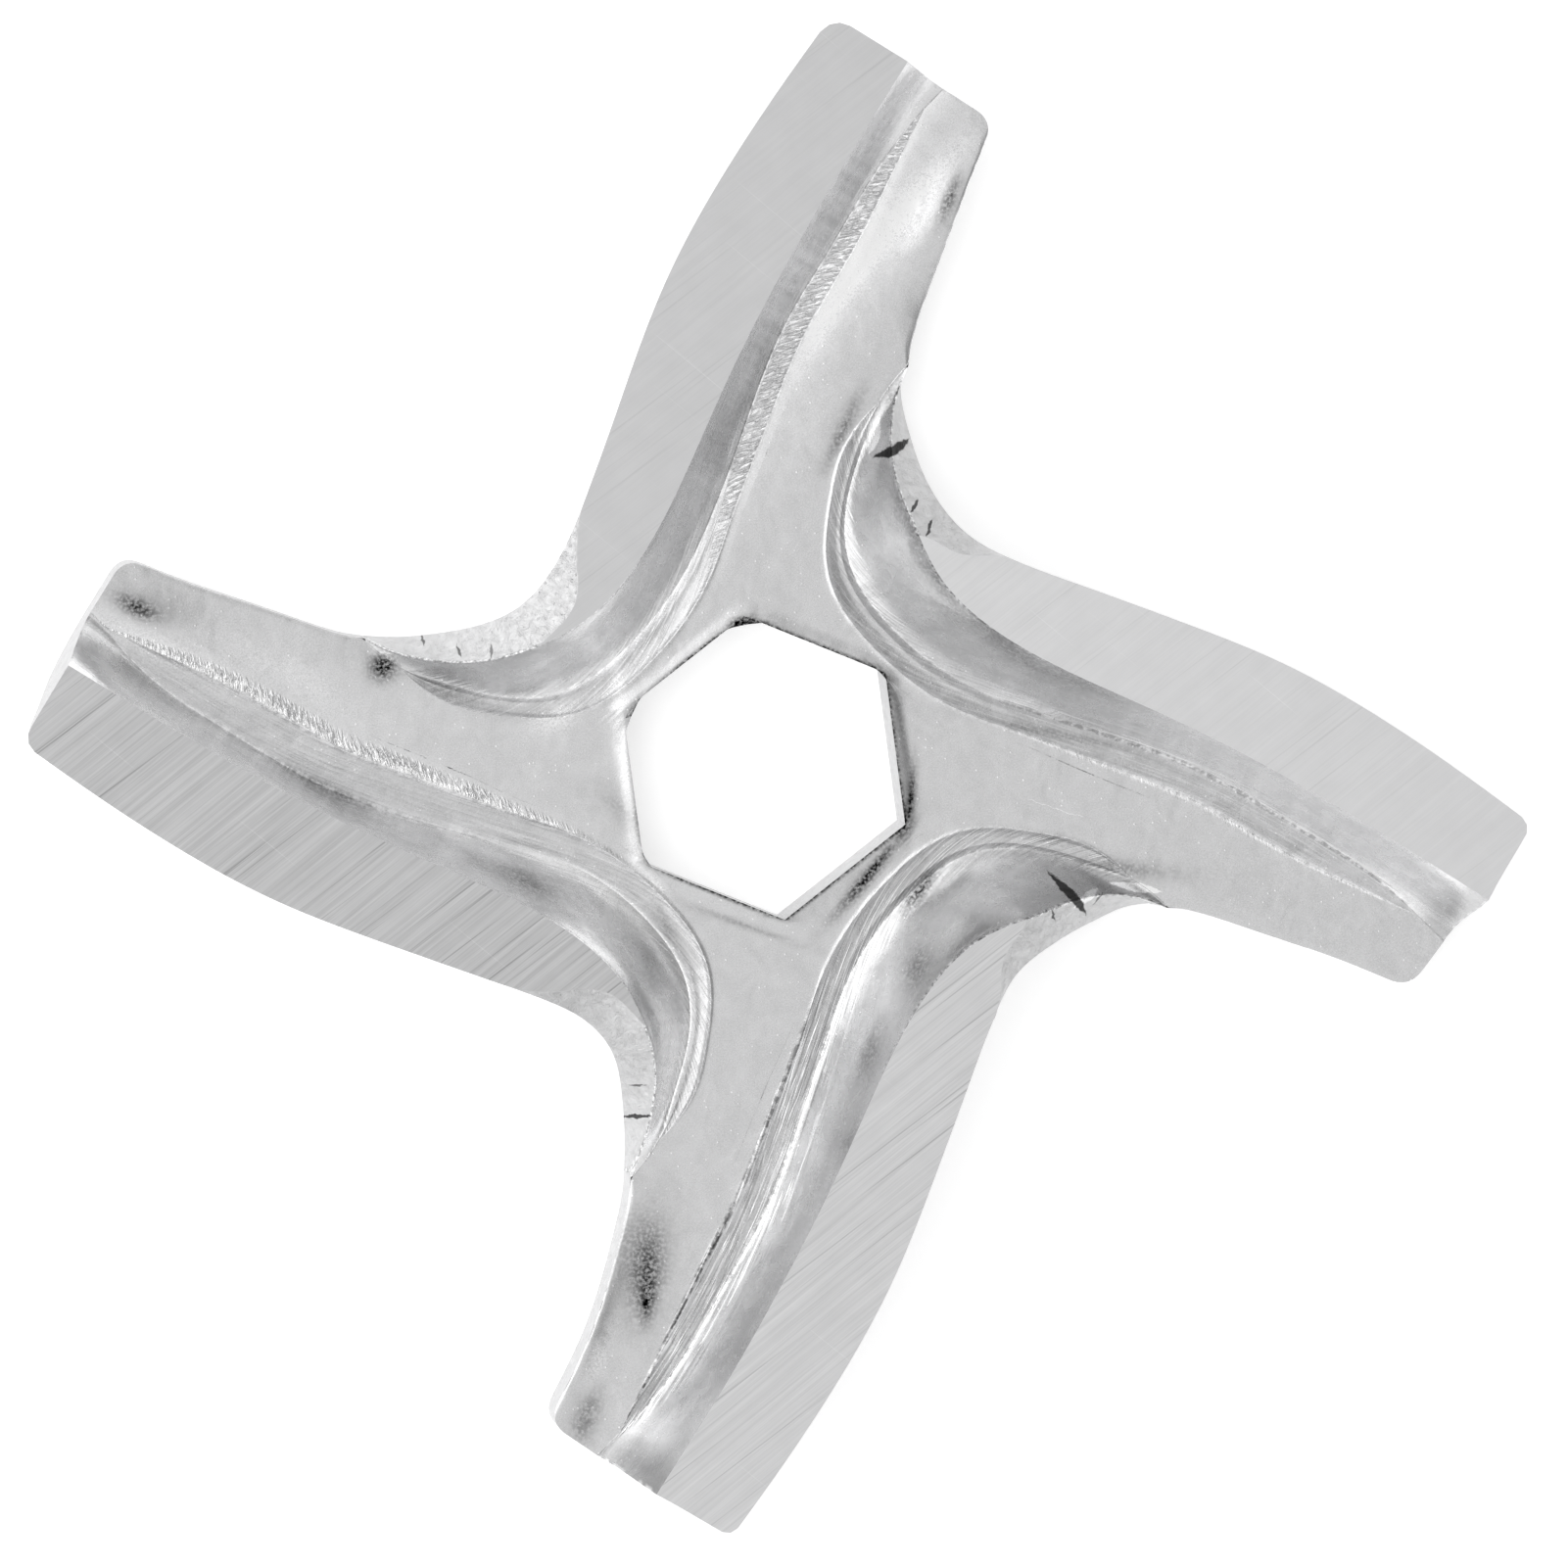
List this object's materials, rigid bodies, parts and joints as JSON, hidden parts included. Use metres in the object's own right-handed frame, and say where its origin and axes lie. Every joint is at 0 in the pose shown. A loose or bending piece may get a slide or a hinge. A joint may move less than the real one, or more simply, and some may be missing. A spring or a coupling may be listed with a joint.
{
  "type": "meat grinder knife",
  "caption": "Cross-shaped meat grinder knife pressed from one steel sheet, with swept arms, raised flat-ground cutting wings and a hexagon drive hole.",
  "frame": {"origin": "drive axis, on the underside of the hub", "axes": "+Z along the drive axis towards the ground cutting faces, one arm swept about +Y, arms at quarter turns"},
  "size_m": [0.0474, 0.0474, 0.0043],
  "materials": {
    "steel": "stainless sheet: satin pressed faces, flat faces ground with fine parallel scratches"
  },
  "bodies": {
    "root": {"knife": "steel"}
  },
  "joints": []
}
